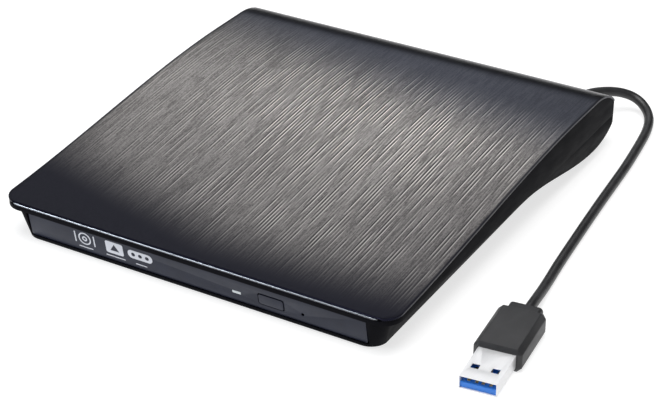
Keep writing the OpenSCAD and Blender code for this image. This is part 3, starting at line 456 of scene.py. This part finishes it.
def round_edges(obj, width, segments=2, merge=True):
    """Rounds a piece's sharp edges by a real radius and shades its curves smooth."""
    if merge:
        weld = obj.modifiers.new("weld", "WELD")
        weld.merge_threshold = WELD_GAP
        flat = obj.modifiers.new("flat_faces", "DECIMATE")
        flat.decimate_type = "DISSOLVE"
        flat.angle_limit = FLAT_ANGLE
    if width:
        bevel = obj.modifiers.new("rounded_edges", "BEVEL")
        bevel.width = width
        bevel.segments = segments
        bevel.limit_method = "ANGLE"
        bevel.angle_limit = SHARP_ANGLE
        bevel.use_clamp_overlap = True
        bevel.miter_outer = "MITER_ARC"
    smoothing = obj.modifiers.new("smooth", "NODES")
    smoothing.node_group = SMOOTHING


def link_mesh(name, made, body, material):
    """Turns a bmesh into a piece on a body."""
    mesh = bpy.data.meshes.new(name)
    made.to_mesh(mesh)
    made.free()
    obj = bpy.data.objects.new(name, mesh)
    scene.collection.objects.link(obj)
    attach(obj, body)
    dress(obj, material)
    return obj


# ---------------------------------------------------------------- cable

CABLE_DIAMETER = 3.5 * MM
# Route on the table from the strain relief to the plug, in millimetres
CABLE_ROUTE = [
    (57, 91, 9.8), (57.2, 94, 9.8), (58.6, 97.2, 9.7), (61, 100.6, 9.4), (63.8, 104.1, 8.7),
    (66.9, 107.1, 7.6), (70.1, 109, 6.2), (73.3, 109, 4.8), (76.2, 107.4, 3.5), (78.5, 104.8, 2.6),
    (80.3, 101.3, 2.1), (81.7, 96.9, 1.8), (82.9, 91.8, 1.8), (84, 85.2, 1.8), (85.3, 76.1, 1.8),
    (86.7, 65, 1.8), (87.9, 52.8, 1.8), (89.5, 35.7, 1.8), (91.7, 14.8, 1.8), (94, -5.8, 1.8),
    (95.5, -17.1, 1.8), (96.7, -25.1, 2.3), (97.8, -32.2, 3.2), (98.6, -37.6, 3.8), (99.2, -42.6, 4),
]
CABLE_STEPS = 6


def smooth_route(points, steps):
    """Catmull-Rom curve through the points."""
    padded = [2 * points[0] - points[1]] + points + [2 * points[-1] - points[-2]]
    curve = []
    for a, b, c, d in zip(padded, padded[1:], padded[2:], padded[3:]):
        for i in range(steps):
            t = i / steps
            curve.append(0.5 * (2 * b + (c - a) * t + (2 * a - 5 * b + 4 * c - d) * t * t
                                + (3 * b - 3 * c + d - a) * t ** 3))
    return curve + [points[-1]]


def make_cable():
    route = smooth_route([Vector(point) * MM for point in CABLE_ROUTE], CABLE_STEPS)
    curve = bpy.data.curves.new("usb_lead", "CURVE")
    curve.dimensions = "3D"
    curve.bevel_depth = 1  # multiplied by each point's radius, which also sets the curve's box
    curve.bevel_resolution = 6
    curve.use_fill_caps = True
    spline = curve.splines.new("POLY")
    spline.points.add(len(route) - 1)
    for point, place in zip(spline.points, route):
        point.co = (*place, 1)
        point.radius = CABLE_DIAMETER / 2
    cable = bpy.data.objects.new("usb_lead", curve)
    scene.collection.objects.link(cable)
    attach(cable, "case")
    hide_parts("usb_cable")
    dress(cable, "cable_rubber")


make_cable()


# ---------------------------------------------------------------- top plate

PLATE_T = 0.8 * MM
LOW_Z = 14.2 * MM
CREST_Z = 24.1 * MM
WAVE_START, WAVE_END = -96.25 * MM, 49 * MM
LIP_R = 1 * MM
FRONT_CORNER, BACK_CORNER = 7 * MM, 2.5 * MM
NOSE_R, NOSE_RISE = 18.5 * MM, 11.3 * MM
NOSE_END_ANGLE = math.radians(25)
PLATE_EDGE_R = 0.15 * MM
# Strips of the plate's mesh over each stretch from the front to the back, and across
LIP_STEPS, CORNER_STEPS, WAVE_STEPS, CREST_STEPS, NOSE_STEPS = 8, 12, 90, 5, 24
COLUMNS = 60


def wave_height(y):
    t = min(1, max(0, (y - WAVE_START) / (WAVE_END - WAVE_START)))
    return LOW_Z + (CREST_Z - LOW_Z) * t * t * (3 - 2 * t)


def plate_half_width(y, half, front, back):
    """Half width of the plan at y, narrowing round the corners."""
    if y < front + FRONT_CORNER:
        run = front + FRONT_CORNER - y
        return half - FRONT_CORNER + math.sqrt(max(0, FRONT_CORNER ** 2 - run ** 2))
    if y > back - BACK_CORNER:
        run = y - (back - BACK_CORNER)
        return half - BACK_CORNER + math.sqrt(max(0, BACK_CORNER ** 2 - run ** 2))
    return half


def steps_between(start, end, steps):
    """Evenly spaced values after start, up to and with end."""
    return [start + (end - start) * i / steps for i in range(1, steps + 1)]


def plate_rows(front, back):
    """Side line of the plate from the lip over the wave to the nose, as (y, z)."""
    lip_y = front + LIP_R
    rows = []
    for i in range(LIP_STEPS + 1):
        a = math.pi * (1 - i / (2 * LIP_STEPS))
        rows.append((lip_y + LIP_R * math.cos(a), wave_height(lip_y) + LIP_R * (math.sin(a) - 1)))
    straight = front + FRONT_CORNER
    wave = steps_between(lip_y, straight, CORNER_STEPS) + steps_between(straight, WAVE_END, WAVE_STEPS)
    rows += [(y, wave_height(y)) for y in wave]
    nose_y, nose_z = back - NOSE_R, CREST_Z - NOSE_RISE
    rows += [(y, CREST_Z) for y in steps_between(WAVE_END, nose_y, CREST_STEPS)]
    for a in steps_between(math.pi / 2, NOSE_END_ANGLE, NOSE_STEPS):
        rows.append((nose_y + NOSE_R * math.cos(a), nose_z + NOSE_RISE * math.sin(a)))
    return rows


def make_top_plate():
    low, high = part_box("top_panel")
    half, front = high[0], low[1]
    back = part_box("top_cover")[1][1]
    made = bmesh.new()
    grid = []
    for y, z in plate_rows(front, back):
        width = plate_half_width(y, half, front, back)
        grid.append([made.verts.new((width * (2 * i / COLUMNS - 1), y, z)) for i in range(COLUMNS + 1)])
    for upper, lower in zip(grid, grid[1:]):
        for i in range(COLUMNS):
            made.faces.new((upper[i], upper[i + 1], lower[i + 1], lower[i]))
    bmesh.ops.recalc_face_normals(made, faces=made.faces)
    if made.faces[0].normal.z < 0:
        bmesh.ops.reverse_faces(made, faces=made.faces)
    plate = link_mesh("brushed_top_plate", made, "case", "brushed_plate")
    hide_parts("top_panel")
    thick = plate.modifiers.new("thickness", "SOLIDIFY")
    thick.thickness = PLATE_T
    thick.offset = -1
    thick.use_even_offset = True
    round_edges(plate, PLATE_EDGE_R, 3, merge=False)


make_top_plate()


# ---------------------------------------------------------------- CAD nodes

# Radius of the rounded edges of each carried-over node, in millimetres; the rest get none
EDGE_RADII = {
    "top_cover": 0.25, "bottom_case": 0.3, "front_bezel": 0.25, "eject_button": 0.3,
    "tray": 0.15, "tray_bottom_cover": 0.05, "drive_lid": 0.08, "drive_chassis": 0.06,
    "slide_rail_left": 0.12, "slide_rail_right": 0.12, "chassis_rails": 0.08,
    "plug_overmold": 0.35, "plug_shell": 0.06, "plug_tongue": 0.15, "plug_contacts": 0.03,
    "cable_strain_relief": 0.15, "rubber_feet": 0.25, "turntable": 0.12, "turntable_ring": 0.08,
    "traverse_cover": 0.15, "pickup_body": 0.15, "actuator_yoke": 0.08, "lens_holder": 0.1,
    "traverse_frame": 0.12, "case_screws": 0.08, "led_window": 0.12,
    "rotor_can": 0.1, "main_chips": 0.08, "eject_latch": 0.1, "sled_motor": 0.15,
    "drive_connector": 0.1, "sata_socket": 0.1, "bridge_chip": 0.06, "eject_switch": 0.08,
    "ribbon_socket": 0.08, "sled_rack": 0.1, "latch_solenoid": 0.15,
}


# Nodes whose looks are the pieces made above
REPLACED_NODES = ("usb_cable", "top_panel")


def dress_cad_nodes():
    slots = {part["node"]: part["material_slot"] for part in frame["record"]["subparts"]}
    for name, obj in frame["nodes"].items():
        if name in REPLACED_NODES:
            continue
        for material_slot in obj.material_slots:
            material_slot.material = MATERIALS[slots[name]]
        round_edges(obj, EDGE_RADII.get(name, 0) * MM)


dress_cad_nodes()


# ---------------------------------------------------------------- floor and light

FLOOR_HALF = 6
# The floor lies just under the feet, so that the two surfaces never coincide
FLOOR_Z = -0.02 * MM
FLOOR_GLOW = 0.74
# How high a direction points, as the sine of its elevation, where the ceiling starts and is full
CEILING_SINES = (0.6, 0.95)

def make_floor():
    """Pale paper that glows a little, which keeps the shadows light."""
    made = bmesh.new()
    bmesh.ops.create_grid(made, x_segments=1, y_segments=1, size=FLOOR_HALF)
    mesh = bpy.data.meshes.new("floor")
    made.to_mesh(mesh)
    made.free()
    floor = bpy.data.objects.new("floor", mesh)
    floor.location.z = FLOOR_Z
    scene.collection.objects.link(floor)
    s = Shader("floor_paper", Roughness=0.9, Emission_Strength=FLOOR_GLOW)
    s.surface.inputs["Emission Color"].default_value = (1, 1, 1, 1)
    s.colour(s.ramp(s.noise(cells(60), detail=2), [(0.3, (0.38, 0.38, 0.38)), (0.7, (0.4, 0.4, 0.4))]))
    mesh.materials.append(s.material)


def area_light(name, azimuth, elevation, distance, size, power, colour=(1, 1, 1), target=(0, 0, 0)):
    """Softbox of that size in metres and power in watts, at that direction from its target in degrees."""
    data = bpy.data.lights.new(name, "AREA")
    data.shape = "RECTANGLE"
    data.size, data.size_y = size
    data.energy = power
    data.color = colour
    lamp = bpy.data.objects.new(name, data)
    scene.collection.objects.link(lamp)
    aim = Vector(target)
    lamp.location = aim + away(math.radians(azimuth), math.radians(elevation), distance)
    lamp.rotation_mode = "QUATERNION"
    lamp.rotation_quaternion = (aim - lamp.location).to_track_quat("-Z", "Y")


def make_world(low, high):
    """Dim room with a brighter ceiling: the strength rises from low to high towards the zenith."""
    world = bpy.data.worlds.new("studio")
    world.use_nodes = True
    nodes, links = world.node_tree.nodes, world.node_tree.links
    direction = nodes.new("ShaderNodeTexCoord")
    axes = nodes.new("ShaderNodeSeparateXYZ")
    rise = nodes.new("ShaderNodeMapRange")
    rise.interpolation_type = "SMOOTHSTEP"
    rise.inputs["From Min"].default_value = CEILING_SINES[0]
    rise.inputs["From Max"].default_value = CEILING_SINES[1]
    rise.inputs["To Min"].default_value = low
    rise.inputs["To Max"].default_value = high
    links.new(direction.outputs["Generated"], axes.inputs["Vector"])
    links.new(axes.outputs["Z"], rise.inputs["Value"])
    links.new(rise.outputs["Result"], nodes["Background"].inputs["Strength"])
    scene.world = world


make_floor()
make_world(0.06, 0.6)
area_light("overhead", 20, 78, 1.6, (1.2, 1.2), 28)
area_light("sheen", 211, 42, 1.3, (1.1, 0.5), 2.4, target=(0, -0.01, 0.018))
area_light("horizon", 211, 24, 1.6, (1.6, 0.3), 0.7, colour=(0.86, 0.92, 1), target=(0, 0.05, 0.02))
area_light("left_fill", -35, 20, 0.5, (0.25, 0.12), 0.8, colour=(0.8, 0.9, 1), target=(-0.06, -0.08, 0))
